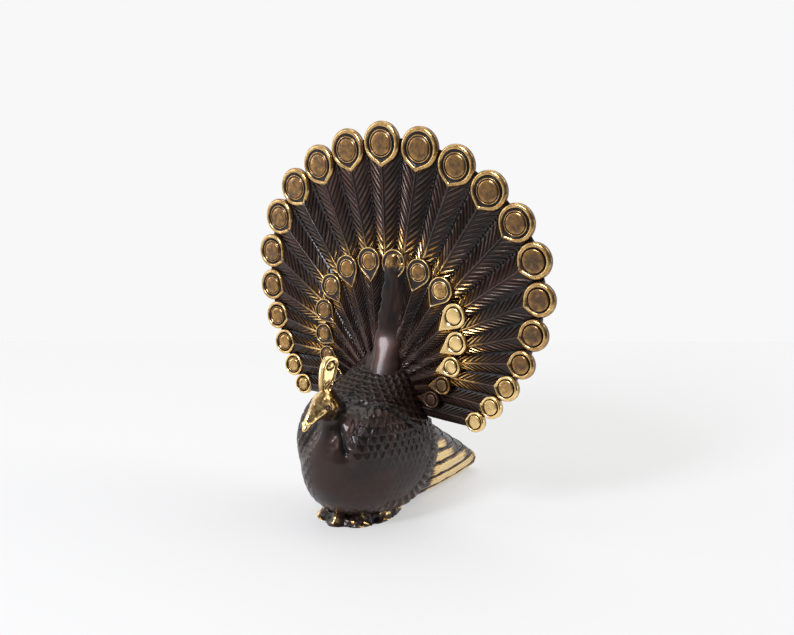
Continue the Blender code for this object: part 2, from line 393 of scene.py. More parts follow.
shortFeathers = {
    "name": "short", "pairs": 7, "first": 0.0, "plateRows": (60, 8), "plateColumns": 12,
    "height": 50.2, "step": 22.8, "tighten": 0.644, "radius": 22.8,
    "bulge": 2.4, "bulgeAt": 57.3, "bulgeWidth": 36.7, "skew": 2.5,
    "lift": 1.5, "swell": 3.0, "root": 0.06, "tip": 1.0, "pleats": 0.5, "backPleats": 0.0, "backShift": -0.9,
    "rootTurns": (0, 8), "rootHeights": (36, 36),
    "barbsPerLength": 32.0, "barbFrom": 0.14, "barbSlope": 1.25, "sideSlope": 0.3, "barbHeight": 0.50,
    "beadGap": 0.95, "beadSize": 0.27, "beadTo": 7.0, "quillThick": 0.26,
    "eyeNames": ("ringed_inner_eyes", "plain_inner_eyes"), "eyeTails": (1.62, 1.95), "plainFrom": 2.5,
    "eyeShare": 0.46, "eyeDepth": 1.5, "eyeSides": 40,
    "eyeWorn": 0.61, "eyeWornSteps": ((1.2, 3.2, 0.40), (5.3, 6.3, -0.78)),
}


def fanY(x, z):
    # where the eyes of the fan lie: it leans back, and curls back at its sides and top
    rise = z - 57.2
    return 0.117 * rise + 0.0015 * x * x - 0.0004 * rise ** 2 - 0.0000021 * rise ** 3


def ringPlace(ring, turn):
    count = np.abs(turn)
    angle = ring["step"] * count - ring["tighten"] * count * count
    radius = ring["radius"] + ring["bulge"] * bump(angle - ring["bulgeAt"], ring["bulgeWidth"])
    bearing = np.radians(np.sign(turn) * angle + ring["skew"])
    return radius * np.sin(bearing), ring["height"] + radius * np.cos(bearing)


def turnsOf(ring):
    last = ring["pairs"] - ring["first"]
    return np.arange(-last, last + 0.5, 1.0)


def rootOf(ring, turn):
    # the height where a feather's quill would meet the fan's middle
    return np.interp(np.abs(turn), ring["rootTurns"], ring["rootHeights"])


def featherSize(ring, turn):
    # a feather's length from the quills' root, and its half width at the tip
    tipX, tipZ = ringPlace(ring, turn)
    beforeX, beforeZ = ringPlace(ring, turn - 0.5)
    afterX, afterZ = ringPlace(ring, turn + 0.5)
    rise = tipZ - rootOf(ring, turn)
    length = np.hypot(tipX, rise)
    half = 0.5 * np.abs((afterX - beforeX) * rise - (afterZ - beforeZ) * tipX) / length
    return length, half


def eyeRadius(ring, turn):
    x0, z0 = ringPlace(ring, turn - 0.5)
    x1, z1 = ringPlace(ring, turn + 0.5)
    return ring["eyeShare"] * np.hypot(x1 - x0, z1 - z0)


def barbSlopeAt(ring, turn):
    # barbs lie closer to the quill at the fan's sides
    return ring["barbSlope"] * (1 + ring["sideSlope"] * smoothStep(*fanShape["sides"], np.abs(turn)))


def featherPoint(ring, turn, share, across):
    # a point on the plate's front; across runs from -1 to 1 between a feather's borders
    tipX, tipZ = ringPlace(ring, turn)
    x = tipX * share
    z = rootOf(ring, turn) * (1 - share) + tipZ * share
    flatter = 1 - 0.5 * smoothStep(*fanShape["sides"], np.abs(turn))
    pleat = ring["pleats"] * fanShape["quillProud"] * np.cos(np.pi * across) * flatter
    forward = pleat + ring["lift"] + ring["swell"] * np.clip(1.0 - share, 0, 1) ** 2
    return np.stack(np.broadcast_arrays(x, fanY(x, z) + fanShape["eyeProud"] - forward, z), axis=-1)


def slantShare(ring, turn, across, share):
    # follows a barb: square to the quill, and moved outwards as the barb runs to the border
    tipX, tipZ = ringPlace(ring, turn)
    quillX, quillZ = ringPlace(ring, turn - 0.5 * across)
    rise, quillRise = tipZ - rootOf(ring, turn), quillZ - rootOf(ring, turn)
    squared = quillX ** 2 + quillRise ** 2
    along = (tipX * quillX + rise * quillRise) / squared
    aside = np.abs(tipX * quillRise - rise * quillX) / squared
    fade = 1.0 - smoothStep(0.90, 1.0, share)
    return share / (1.0 + fade * (along - 1.0 - aside * barbSlopeAt(ring, turn)))


def featherPlate(ring):
    # loops of points down the front and up the back of the plate, with both fields
    rowCount, backRows = ring["plateRows"]
    inside = np.sin(np.linspace(0, 0.5 * np.pi, ring["plateColumns"] // 2 + 1))[1:]  # closer near the borders
    offsets = np.concatenate([-inside[::-1], [0.0], inside])
    turns, across = [], []
    for centre in turnsOf(ring):
        chosen = offsets if centre == turnsOf(ring)[-1] else offsets[:-1]
        turns.extend(centre + 0.5 * chosen)
        across.extend(chosen)
    turns = np.array(turns)[:, None]
    across = np.array(across)[:, None]
    rows = np.linspace(ring["root"], ring["tip"], rowCount)[None, :]
    shares = np.minimum(slantShare(ring, turns, across, rows), ring["tip"])
    front = featherPoint(ring, turns, shares, across)
    border = bump((1 - np.abs(across)) * featherSize(ring, turns)[1] * shares, 0.35)
    front[..., 1] += 0.30 * border
    backShares = np.linspace(ring["tip"], ring["root"], backRows)[None, :] + 0 * turns
    back = featherPoint(ring, turns, backShares, across)
    pleat = 0.34 * np.cos(np.pi * across) - 0.20 * bump(1 - np.abs(across), 0.12)
    back[..., 1] = (fanY(back[..., 0], back[..., 2]) + fanShape["eyeProud"] + fanShape["thickness"]
                    + ring["backShift"] + ring["backPleats"] * pleat)
    loops = np.concatenate([front, back], axis=1)
    # the plate between the barbs counts low and the feather borders lowest, so both are painted dark as oxide
    # and painted shade
    height = np.concatenate([0.26 - 0.26 * border, 0.7 + 0 * backShares], axis=1)
    worn = np.concatenate([0.08 + 0.45 * wornOnFan(front), 0.05 + 0 * backShares], axis=1)
    return loops, worn, height


def wornOnFan(points):
    # bare metal shows most on the barbs round the short feathers' eyes; the lit factor adds painted light,
    # more gold to the right and far left where the light falls
    x, z = points[..., 0], points[..., 2]
    fromRing = np.hypot(x, z - shortFeathers["height"]) - shortFeathers["radius"] - 1.0
    angle = np.degrees(np.arctan2(x, z - 50.0))
    reach = 7.5 + 1.5 * smoothStep(-30, -70, angle)
    outside = np.where(fromRing > 0, bump(fromRing, reach), bump(fromRing, 4.0))
    lit = 0.85 + 0.25 * smoothStep(-5, 60, angle) + 0.25 * smoothStep(-50, -85, angle)
    low = 1 - smoothStep(108, 120, np.abs(angle))
    return 0.16 + 0.78 * outside * lit * low


def barbForm():
    # a lens-shaped ridge, 1 long, 2 wide and 1 high, sunk a little in the plate
    stations = (0.0, 0.06, 0.18, 0.36, 0.56, 0.76, 0.91, 1.0)
    section = ((-1.0, -0.5), (-0.66, 0.62), (0.0, 1.0), (0.66, 0.62), (1.0, -0.5))
    points, high = [], []
    for x in stations:
        size = max(0.14, math.sin(math.pi * (0.06 + 0.90 * x) ** 0.8) ** 0.6)
        for y, z in section:
            points.append((x, y * size, z * (0.25 + 0.75 * size) if z > 0 else z))
            high.append(0.1 if z < 0 else (0.75 + 0.25 * z) * (0.45 + 0.55 * size))
    return formObject("barb_form", points, cappedFaces(len(stations), len(section)), high)


def beadForm():
    sides = 7
    points, high = [], []
    for radius, z in ((1.0, -0.6), (0.9, 0.25), (0.45, 0.62)):
        for side in range(sides):
            turn = 2 * math.pi * side / sides
            points.append((radius * math.cos(turn), radius * math.sin(turn), z))
            high.append(0.4 + 0.6 * max(0.0, z))
    return formObject("bead_form", points, cappedFaces(3, sides), high)


def eyeForm(name, profile, sides, tail):
    # a round eye of radius 1 whose rim runs to a point; X points to the root, Z outward
    touch = math.acos(1 / tail)
    points, high = [], []
    for radius, depth, stretch, level in profile:
        for side in range(sides):
            turn = 2 * math.pi * side / sides
            bent = math.atan2(math.sin(turn), math.cos(turn))
            drop = 1 / math.cos(touch - abs(bent)) if abs(bent) < touch else 1.0
            reach = radius * (1 + stretch * (drop - 1))
            points.append((reach * math.cos(turn) + 0.06 * (1 - radius), reach * math.sin(turn), depth))
            high.append(level)
    return formObject(name, points, cappedFaces(len(profile), sides), high)


# radius, depth, how far it follows the pointed rim, and how high it counts for the finish; the grooves count
# low, painted dark as oxide and painted shade
longEdge = ((0.90, -1.0, 0.3, 0.3), (1.0, -0.85, 0.5, 0.5), (1.02, -0.36, 0.8, 0.7), (1.0, -0.18, 0.85, 0.9))
shortEdge = ((0.90, -1.0, 0.3, 0.3), (1.0, -0.85, 0.5, 0.4), (1.0, -0.30, 0.8, 0.6), (0.985, -0.12, 0.9, 0.8),
             (0.96, 0.00, 0.95, 1.0))
eyeProfiles = {
    "ringed_eyes": longEdge + (
        (0.96, -0.05, 0.9, 1.0), (0.91, 0.04, 0.95, 1.0), (0.86, 0.05, 1.0, 1.0), (0.81, 0.0, 1.0, 1.0),
        (0.775, -0.10, 1.0, 0.6), (0.75, -0.22, 0.9, 0.0), (0.70, -0.26, 0.15, 0.0), (0.68, -0.20, 0.0, 0.0),
        (0.655, -0.05, 0.0, 0.75), (0.63, 0.0, 0.0, 1.0), (0.605, -0.03, 0.0, 0.8), (0.585, -0.12, 0.0, 0.1),
        (0.555, -0.06, 0.0, 0.5), (0.525, 0.01, 0.0, 0.86), (0.48, 0.05, 0.0, 0.80), (0.30, 0.04, 0.0, 0.76),
        (0.10, 0.045, 0.0, 0.76)),
    "plain_eyes": longEdge + (
        (0.95, -0.02, 0.9, 1.0), (0.89, 0.06, 0.95, 1.0), (0.82, 0.06, 1.0, 1.0), (0.765, 0.0, 0.9, 1.0),
        (0.735, -0.08, 0.6, 0.7), (0.715, -0.20, 0.3, 0.0), (0.68, -0.22, 0.0, 0.0), (0.655, -0.12, 0.0, 0.2),
        (0.635, -0.01, 0.0, 0.85), (0.60, 0.03, 0.0, 0.84), (0.45, 0.05, 0.0, 0.73), (0.28, 0.05, 0.0, 0.71),
        (0.10, 0.055, 0.0, 0.71)),
    "ringed_inner_eyes": shortEdge + (
        (0.925, 0.02, 1.0, 1.0), (0.89, -0.03, 1.0, 0.7), (0.865, -0.14, 1.0, 0.20), (0.80, -0.18, 0.95, 0.32),
        (0.74, -0.20, 0.4, 0.28), (0.70, -0.17, 0.0, 0.2), (0.675, -0.03, 0.0, 0.75), (0.645, 0.03, 0.0, 1.0),
        (0.61, 0.00, 0.0, 0.8), (0.59, -0.11, 0.0, 0.1), (0.56, -0.07, 0.0, 0.3), (0.52, 0.0, 0.0, 0.76),
        (0.40, 0.03, 0.0, 0.72), (0.22, 0.05, 0.0, 0.72), (0.08, 0.055, 0.0, 0.72)),
    "plain_inner_eyes": shortEdge + (
        (0.91, 0.04, 1.0, 1.0), (0.84, 0.03, 0.8, 0.95), (0.78, -0.01, 0.4, 0.9), (0.745, -0.08, 0.1, 0.6),
        (0.725, -0.22, 0.0, 0.0), (0.66, -0.24, 0.0, 0.0), (0.64, -0.10, 0.0, 0.1), (0.615, 0.0, 0.0, 0.8),
        (0.57, 0.05, 0.0, 0.95), (0.42, 0.08, 0.0, 0.9), (0.22, 0.10, 0.0, 0.9), (0.08, 0.105, 0.0, 0.9)),
}


def eyesOnRing(name, ring, turns, form, worn, material):
    x, z = ringPlace(ring, turns)
    places = np.stack([x, fanY(x, z) - ring["lift"], z], axis=-1)
    nudge = 0.5
    slopeX = (fanY(x + nudge, z) - fanY(x - nudge, z)) / (2 * nudge)
    slopeZ = (fanY(x, z + nudge) - fanY(x, z - nudge)) / (2 * nudge)
    outward = np.stack([slopeX, -np.ones_like(x), slopeZ], axis=-1)
    rootZ = rootOf(ring, turns)
    along = np.stack([-x, fanY(0 * x, rootZ) - fanY(x, z), rootZ - z], axis=-1)
    radius = eyeRadius(ring, turns)
    stretch = np.stack([radius, radius, 0 * radius + ring["eyeDepth"]], axis=-1)
    copiesOnPlaces(name, form, places, along, outward, stretch, 1.0, worn, material)


def barbsOf(ring, form, material):
    starts, ends, quills, widths, highs = [], [], [], [], []
    rng = np.random.default_rng(7)
    for centre in turnsOf(ring):
        length = featherSize(ring, centre)[0]
        clear = 1.0 - 0.92 * eyeRadius(ring, centre) / length
        shift = rng.uniform(0, 1)
        slope = barbSlopeAt(ring, centre)
        perLength = ring["barbsPerLength"] * (1 - 0.32 * (slope / ring["barbSlope"] - 1))
        count = int((1.0 - ring["barbFrom"]) * perLength)
        for side in (-1, 1):
            for index in range(count):
                share = ring["barbFrom"] + (index + shift) / perLength
                inner = side * 0.10
                outer = side * (0.90 + rng.uniform(-0.03, 0.02))
                first = slantShare(ring, centre + 0.5 * inner, inner, share)
                final = slantShare(ring, centre + 0.5 * outer, outer, share)
                if final > 0.99 or (first > clear + 0.02 and final > 0.985):
                    continue
                start = featherPoint(ring, centre + 0.5 * inner, first, inner)
                starts.append(start)
                ends.append(featherPoint(ring, centre + 0.5 * outer, final, outer))
                quills.append(featherPoint(ring, centre + 0.5 * inner, first + 0.02, inner) - start)
                widths.append(0.41 * length / perLength / math.hypot(1, slope) * rng.uniform(0.85, 1.15))
                highs.append(ring["barbHeight"] * rng.uniform(0.8, 1.15))
    starts, ends, quills = np.array(starts), np.array(ends), np.array(quills)
    along = ends - starts
    outward = np.cross(along, quills)
    outward *= -np.sign(outward[:, 1:2])
    stretch = np.stack([np.linalg.norm(along, axis=1), widths, highs], axis=-1)
    worn = wornOnFan(0.5 * (starts + ends))
    copiesOnPlaces(ring["name"] + "_feather_barbs", form, starts, along, outward, stretch, 1.0, worn, material)


def beadsOf(ring, form, material):
    places, along, outward, stretch = [], [], [], []
    last = ring["pairs"] - ring["first"] - 0.5
    for border in np.arange(-last, last + 0.5, 1.0):
        if abs(border) > ring["beadTo"]:
            continue
        length = featherSize(ring, border)[0]
        count = int((0.96 - ring["barbFrom"]) * length / ring["beadGap"])
        for index in range(count):
            share = ring["barbFrom"] + (index + 0.5) * (0.96 - ring["barbFrom"]) / count
            here = featherPoint(ring, border, share, 1.0)
            ahead = featherPoint(ring, border, share + 0.01, 1.0)
            places.append(here)
            along.append(ahead - here)
            outward.append((0, -1, 0.1))
            stretch.append((1.15, 1.0, 1.2))
    worn = wornOnFan(np.array(places)) - 0.02
    copiesOnPlaces(ring["name"] + "_feather_beads", form, places, along, outward, stretch, ring["beadSize"],
                   worn, material)


def quillsOf(ring, material):
    lines, worn = [], []
    steps = 22
    for centre in turnsOf(ring):
        clear = 1.0 - 0.95 * eyeRadius(ring, centre) / featherSize(ring, centre)[0]
        points = featherPoint(ring, centre, np.linspace(ring["root"] + 0.04, clear, steps), 0.0)
        lines.append((points.tolist(), np.linspace(0.7, 1.0, steps).tolist()))
        worn.extend(wornOnFan(points) - 0.04)
    ridgesOnLines(ring["name"] + "_feather_quills", lines, ring["quillThick"], worn, 0.9, material)


def buildFan(material):
    plates = []
    forms = [barbForm(), beadForm()]
    for ring in (longFeathers, shortFeathers):
        plates.append(ringedPiece(ring["name"] + "_feather_plate", *featherPlate(ring), material))
        barbsOf(ring, forms[0], material)
        beadsOf(ring, forms[1], material)
        quillsOf(ring, material)
    for ring in (longFeathers, shortFeathers):
        turns = turnsOf(ring)
        worn = ring["eyeWorn"] + sum(
            more * smoothStep(low, high, turns) for low, high, more in ring["eyeWornSteps"])
        plain = turns > ring["plainFrom"]
        for name, tail, chosen in zip(ring["eyeNames"], ring["eyeTails"], (~plain, plain)):
            forms.append(eyeForm(name + "_form", eyeProfiles[name], ring["eyeSides"], tail))
            eyesOnRing(name, ring, turns[chosen], forms[-1], worn[chosen], material)
    for form in forms:
        bpy.data.objects.remove(form, do_unlink=True)
    print("stage: fan")
    return plates


fanPlates = buildFan(darkBrass)


# The bird: body, wings, neck and head are one skin, blended where they meet
birdShape = {
    "voxel": 0.30, "smoothings": 11,
    "body": ((1.8, -22.0, -3.0, 7.5), (3.4, -26.6, 1.0, 11.6), (6.0, -30.0, 4.0, 14.6),
             (10.0, -32.8, 5.5, 16.4), (15.0, -34.5, 7.0, 17.4), (22.0, -34.4, 7.5, 17.4),
             (28.0, -32.4, 6.5, 16.4), (33.0, -28.9, 5.5, 14.4), (37.0, -23.0, 5.0, 12.0),
             (40.5, -14.5, 4.5, 10.4), (44.0, -8.0, 4.5, 8.4), (48.0, -4.5, 4.5, 5.8),
             (52.0, -1.8, 4.5, 3.0)),
    "neck": ((-32.5, 18.0, -16.0, 18.0, 8.0), (-33.0, 25.0, -18.0, 26.0, 6.8),
             (-31.8, 30.0, -21.5, 31.5, 5.0), (-31.3, 32.4, -23.6, 35.6, 4.1),
             (-32.4, 33.6, -26.2, 39.4, 3.6), (-34.0, 34.2, -29.2, 42.6, 3.4),
             (-35.8, 34.3, -32.0, 42.9, 3.0), (-37.4, 34.0, -34.9, 41.0, 2.2),
             (-39.0, 33.3, -37.4, 38.8, 1.7), (-40.6, 32.5, -39.8, 36.4, 1.25),
             (-42.0, 31.6, -41.8, 33.4, 0.7)),
    "wingCentre": (7.4, -13.3, 20.8),
    "wingReach": (10.4, 18.0, 16.4),
    "wingFlare": 2.8,
    "wingEgg": 0.14,
    "wingFold": ((5.0, -22.0, 36.8), (11.4, -19.2, 36.1), (14.5, -16.5, 33.9), (16.6, -12.9, 30.6),
                 (17.8, -8.7, 26.6), (18.2, -4.2, 21.7)),
    "neckFold": ((3.2, -25.0, 36.4), (3.8, -29.7, 34.0), (4.6, -30.2, 30.7), (6.1, -31.3, 26.9),
                 (7.2, -31.6, 24.8)),
    # the fold's height along y, and where the layered feathers start round the wing's centre
    "foldHeight": ((-31.0, -28.0, -22.0, -19.0, -16.5, -13.0, -8.7, -4.2, 0.0),
                   (33.0, 35.0, 36.8, 36.1, 33.9, 30.6, 26.6, 21.7, 17.0)),
    "bandStart": ((-125, -97, -78, -39, 14, 40), (0.96, 0.84, 0.68, 0.46, 0.55, 0.76)),
    "ringScale": (2.05, 2.30), "rowScale": (2.30, 2.75), "breastScale": (2.1, 2.5),  # length and width
    # places on the side of the bird, as y and z
    "hub": (-1.0, 47.0), "eye": (-34.1, 38.2), "brow": (-33.6, 40.4), "temple": (-36.4, 38.6),
    "nostril": (-40.6, 34.6), "throat": (-30.5, 27.5), "beakTip": (-42.0, 32.3), "mouthSlope": 0.56,
}


def smoothStations(stations, count):
    # Catmull-Rom stations through the given ones
    stations = np.asarray(stations, float)
    last = len(stations) - 1
    place = np.arange(count) * last / (count - 1)
    low = np.minimum(place.astype(int), last - 1)
    part = (place - low)[:, None]
    before, start = stations[np.maximum(low - 1, 0)], stations[low]
    end, after = stations[low + 1], stations[np.minimum(low + 2, last)]
    return 0.5 * (2 * start + (end - before) * part + (2 * before - 5 * start + 4 * end - after) * part ** 2
                  + (3 * start - before - 3 * end + after) * part ** 3)


def signedPower(value, exponent):
    return np.sign(value) * np.abs(value) ** exponent


def bodySkin():
    turn = anglesRound(64)
    rings = []
    for height, front, back, half in smoothStations(birdShape["body"], 40):
        middle = min(0.5 * (front + back) + 3.5, back - 2.0)
        along = -np.cos(turn)
        reach = np.where(along < 0, middle - front, back - middle)
        rings.append(np.stack([half * np.sin(turn), middle + reach * along, height + 0 * turn], axis=-1))
    return np.array(rings)


def wingSkin(side):
    # an egg-shaped shell that stands proud of the body's side
    turn = anglesRound(64)
    centreX, centreY, centreZ = birdShape["wingCentre"]
    reachX, reachY, reachZ = birdShape["wingReach"]
    rings = []
    for angle in np.pi * (np.arange(28) + 0.2) / 27.4:
        out = signedPower(np.cos(angle), 0.8)
        girth = signedPower(np.sin(angle), 0.8)
        along, up = girth * np.cos(turn), girth * np.sin(turn)
        skew = 1.0 - birdShape["wingEgg"] * np.cos(turn) * np.sin(turn)
        spread = reachX + birdShape["wingFlare"] * along
        rings.append(np.stack([side * (centreX + spread * out), centreY + reachY * along * skew,
                               centreZ + reachZ * up * skew], axis=-1))
    return np.array(rings)


def neckSkin():
    turn = anglesRound(48)
    rings = []
    for lowY, lowZ, highY, highZ, half in smoothStations(birdShape["neck"], 48):
        share = 0.5 - 0.5 * np.cos(turn)
        gable = 1.0 - 0.30 * smoothStep(0.55, 1.0, share)  # the crown is a ridge with two facets
        rings.append(np.stack([half * np.sin(turn) * gable, lowY + (highY - lowY) * share,
                               lowZ + (highZ - lowZ) * share], axis=-1))
    return np.array(rings)


def neighbourMean(values, edges):
    count = len(values)
    total, amount = np.zeros_like(values), np.zeros(count)
    for first, second in ((0, 1), (1, 0)):
        for axis in range(3):
            total[:, axis] += np.bincount(edges[:, first], values[edges[:, second], axis], minlength=count)
        amount += np.bincount(edges[:, first], minlength=count)
    return total / np.maximum(amount, 1)[:, None]


def meshArrays(mesh):
    points = np.empty(len(mesh.vertices) * 3, np.float32)
    mesh.vertices.foreach_get("co", points)
    points = points.reshape(-1, 3) / mm - (0.0, depthShift, 0.0)
    normals = np.empty(len(mesh.vertices) * 3, np.float32)
    mesh.vertices.foreach_get("normal", normals)
    edges = np.empty(len(mesh.edges) * 2, np.int32)
    mesh.edges.foreach_get("vertices", edges)
    return points, normals.reshape(-1, 3).astype(float), edges.reshape(-1, 2)


def setPoints(mesh, points):
    mesh.vertices.foreach_set("co", ((points + (0.0, depthShift, 0.0)) * mm).astype(np.float32).ravel())
    mesh.update()


def scalesOn(down, acrossAt):
    # overlapping scales with round lower edges, in unit rows: 0 where one starts, 1 at its free edge
    best = np.zeros_like(down)
    for step in (0, -1):
        row = np.floor(down) + step
        across = acrossAt(row) + 0.5 * (row % 2)
        arch = 3.4 * (across - np.floor(across) - 0.5) ** 2
        level = np.clip((down - row + arch) / 1.55, 0, 1)
        best = np.where((down < row + 1.55 - arch) & (best == 0), 0.15 + 0.85 * level, best)
    return best


def fromLine(points, line):
    # each point's distance to a line of straight pieces
    nearest = np.full(len(points), 1e9)
    for start, end in zip(np.array(line[:-1]), np.array(line[1:])):
        along = end - start
        share = np.clip((points - start) @ along / (along @ along), 0, 1)
        nearest = np.minimum(nearest, np.linalg.norm(points - start - share[:, None] * along, axis=1))
    return nearest


def wingPlace(y, z):
    # share of the wing's outline, and the angle round its centre in degrees: 0 back, 90 up
    u = (y - birdShape["wingCentre"][1]) / birdShape["wingReach"][1]
    v = (z - birdShape["wingCentre"][2]) / birdShape["wingReach"][2]
    turn = np.arctan2(v, u)
    skew = 1.0 - birdShape["wingEgg"] * np.cos(turn) * np.sin(turn)
    return np.hypot(u, v) / skew, np.degrees(turn)


def featherRelief(points):
    # scales, layered feathers and folds: how far each point is raised in mm, how high it counts for the
    # finish, where low values are painted dark as oxide and painted shade, and where the layered
    # feathers lie
    x, y, z = points.T
    side = np.abs(x)
    sway = 0.9 * (softNoise(points, 5.0, 21) - 0.5)
    drift = 0.9 * (softNoise(points, 4.0, 22) - 0.5)
    lift = np.zeros(len(points))
    level = np.full(len(points), 0.39)
    foldHeight = np.interp(y, *birdShape["foldHeight"])
    above = np.maximum(smoothStep(-0.6, 0.6, z - foldHeight), 1 - smoothStep(5.0, 7.0, side))
    # on the back they lie in rings round the foot of the fan, as wide in every ring
    hubY, hubZ = birdShape["hub"]
    fromHub = np.sqrt((y - hubY) ** 2 + (z - hubZ) ** 2 + x * x)
    bearing = np.arctan2(x, hubY - y) + 0.05 * sway
    offNeck = np.maximum(smoothStep(-26.5, -23.5, y), smoothStep(6.0, 8.0, side))
    ringZone = smoothStep(9.0, 11.0, fromHub) * offNeck * above * smoothStep(20.0, 25.0, z)
    depth, width = birdShape["ringScale"]
    ringScales = scalesOn((fromHub + 0.8 * drift) / depth, lambda row: bearing / width * np.interp(
        (row + 0.8) * depth, (0.0, 12.0, 45.0), (0.0, 11.4, 25.0)))
    # below the wing's fold they lie in level rows, fainter low on the wing
    girth = np.arctan2(side - 4.0, birdShape["wingCentre"][1] - y) * 17.0
    depth, width = birdShape["rowScale"]
    rowScales = scalesOn((37.0 - z - 0.05 * girth) / depth + 0.35 * drift, lambda row: girth / width + sway)
    rowStrength = 0.12 + 0.88 * smoothStep(18.0, 25.0, z + 0.2 * (y + 20.0))
    rowZone = smoothStep(6.0, 8.0, side) * (1 - above) * smoothStep(6.0, 9.0, z) * rowStrength
    for scales, zone, curl, low in ((ringScales, ringZone, 0.25, 0.04), (rowScales, rowZone, 0.55, 0.12)):
        # each scale has a raised rim along its free edge
        rim = bump(scales - 0.80, 0.17)
        lift += (0.38 * (1 - curl) * (scales - 0.4) + 0.60 * curl * (rim - 0.3)) * zone
        level = level * (1 - zone) + zone * (low + 0.36 * scales + 0.30 * rim)
    # the far side of the breast has smaller ones
    breastZone = smoothStep(-2.5, -5.0, x) * smoothStep(-14.0, -20.0, y) * smoothStep(5.0, 8.0, z)
    breastZone = breastZone * (1 - smoothStep(28.0, 31.0, z)) * (1 - smoothStep(8.0, 10.0, side))
    depth, width = birdShape["breastScale"]
    breastScales = scalesOn((37.0 - z) / depth + 0.5 * drift, lambda row: girth / width + sway)
    # layers of small feathers along the wing's back and lower border
    wingShare, wingTurn = wingPlace(y, z)
    bandRow = (wingShare - np.interp(wingTurn, *birdShape["bandStart"])) / 0.12
    bandZone = (smoothStep(7.5, 10.0, side) * smoothStep(-122, -108, wingTurn)
                * (1 - smoothStep(32, 46, wingTurn)) * smoothStep(-0.3, 0.1, bandRow)
                * (1 - smoothStep(3.2, 3.8, bandRow)))
    bandFeathers = scalesOn(bandRow + 0.3 * drift, lambda row: wingTurn / 8.5 + sway)
    for scales, zone, rise, middle, low, more in ((breastScales, breastZone, 0.42, 0.4, 0.25, 0.6),
                                                  (bandFeathers, bandZone, 1.0, 0.5, 0.1, 0.8)):
        lift += rise * (scales - middle) * zone
        level = level * (1 - zone) + zone * (low + more * scales)
    # the fold along the wing's top, and the groove between neck and wing, both sunk and darkened as painted
    # shade in the crease
    mirrored = np.stack([side, y, z], axis=-1)
    for line, width, deep in ((birdShape["wingFold"], 0.6, 0.50), (birdShape["neckFold"], 0.8, 0.60)):
        fold = bump(fromLine(mirrored, line), width)
        lift -= deep * fold
        level -= 0.55 * fold
    # streaks that run from the back up on the fan
    streakTurn = np.degrees(np.arctan2(x, z - 36.0))
    streaks = np.sin(np.radians(streakTurn) * 58 + 2.2 * np.sin(fromHub * 0.8 + streakTurn * 0.35))
    streakZone = (1 - smoothStep(9.0, 12.0, fromHub)) * smoothStep(2.5, 4.0, side)
    lift += 0.22 * streaks * streakZone
    level = level * (1 - streakZone) + streakZone * (0.5 + 0.35 * streaks)
    return lift, level, bandZone


def fromPlace(y, z, name):
    return np.hypot(y - birdShape[name][0], z - birdShape[name][1])


def headRelief(points, lift, level, worn):
    # eye, brow, mouth and nostril, added to the three fields
    x, y, z = points.T
    side = np.abs(x)
    headZone = smoothStep(30.5, 33.5, z) * (1 - smoothStep(-27.0, -24.5, y))
    onSide = smoothStep(1.2, 2.0, side)
    eye = fromPlace(y, z, "eye")
    lift += onSide * (0.22 * bump(eye - 0.95, 0.28) - 0.25 * bump(eye, 0.65) + 0.24 * bump(eye, 0.34))
    level -= 0.7 * onSide * bump(eye - 0.55, 0.26) * headZone
    crown = bump(side, 0.7) * smoothStep(34.0, 37.0, z)
    brow = bump(fromPlace(y, z, "brow"), 1.7)
    temple = bump(fromPlace(y, z, "temple"), 2.2)
    beak = smoothStep(-36.8, -38.2, y)
    lift += 0.36 * crown + 0.26 * brow * onSide
    worn += headZone * np.maximum.reduce([0.85 * crown, 0.90 * brow, 0.90 * beak, 0.95 * temple, 0.74 + 0 * z])
    worn -= 0.5 * headZone * smoothStep(-31.5, -28.5, y)
    worn -= 0.40 * headZone * onSide * bump(eye - 0.55, 0.36)
    worn -= 0.5 * headZone * smoothStep(38.0, 35.5, z) * smoothStep(-35.5, -33.5, y)
    fine = softNoise(points, 0.7, 9) - 0.5
    lift += 0.14 * fine * headZone
    level += (0.38 + 0.6 * fine) * headZone
    tipY, tipZ = birdShape["beakTip"]
    mouth = z - tipZ - birdShape["mouthSlope"] * (y - tipY)
    beakZone = (1 - smoothStep(-35.6, -34.4, y)) * headZone
    lift += (0.22 * bump(mouth - 0.7, 0.4) * onSide - 0.22 * bump(mouth, 0.22)) * beakZone
    worn += 0.30 * bump(mouth - 0.7, 0.5) * beakZone
    level -= 0.8 * bump(mouth, 0.25) * beakZone
    lift += 0.45 * bump(fromPlace(y, z, "nostril"), 0.55) * smoothStep(0.5, 1.0, side)


def birdRelief(points):
    # how far each point is raised, in mm, how high it counts for the finish (low is painted dark as oxide and
    # painted shade), and how worn it is
    lift, level, bandZone = featherRelief(points)
    worn = 0.10 + 0.10 * bandZone
    headRelief(points, lift, level, worn)
    x, y, z = points.T
    side = np.abs(x)
    # soft lumps at the throat, with a little gold
    onThroat = smoothStep(1.0, 3.0, side) * (1 - smoothStep(4.6, 6.0, side))
    throat = bump(fromPlace(y, z, "throat"), 4.5) * onThroat
    lumps = softNoise(points, 1.3, 3)
    lift += 0.38 * (lumps - 0.5) * throat
    level += 0.35 * throat * smoothStep(0.45, 0.75, lumps)
    worn += 0.42 * throat * smoothStep(0.5, 0.8, lumps)
    # fine feather lines above the feet
    legZone = 1 - smoothStep(5.0, 8.0, z)
    legLines = np.sin(np.degrees(np.arctan2(x, -(y + 14.0))) * 0.42 + 0.6 * np.sin(z * 1.7))
    lift += 0.16 * legLines * legZone
    worn += 0.30 * legZone * smoothStep(0.2, 1.0, legLines) * smoothStep(-18, -12, y)
    # the casting is a little uneven everywhere
    lift += 0.10 * (softNoise(points, 3.1, 5) - 0.5)
    return lift, np.clip(level, 0, 1), worn


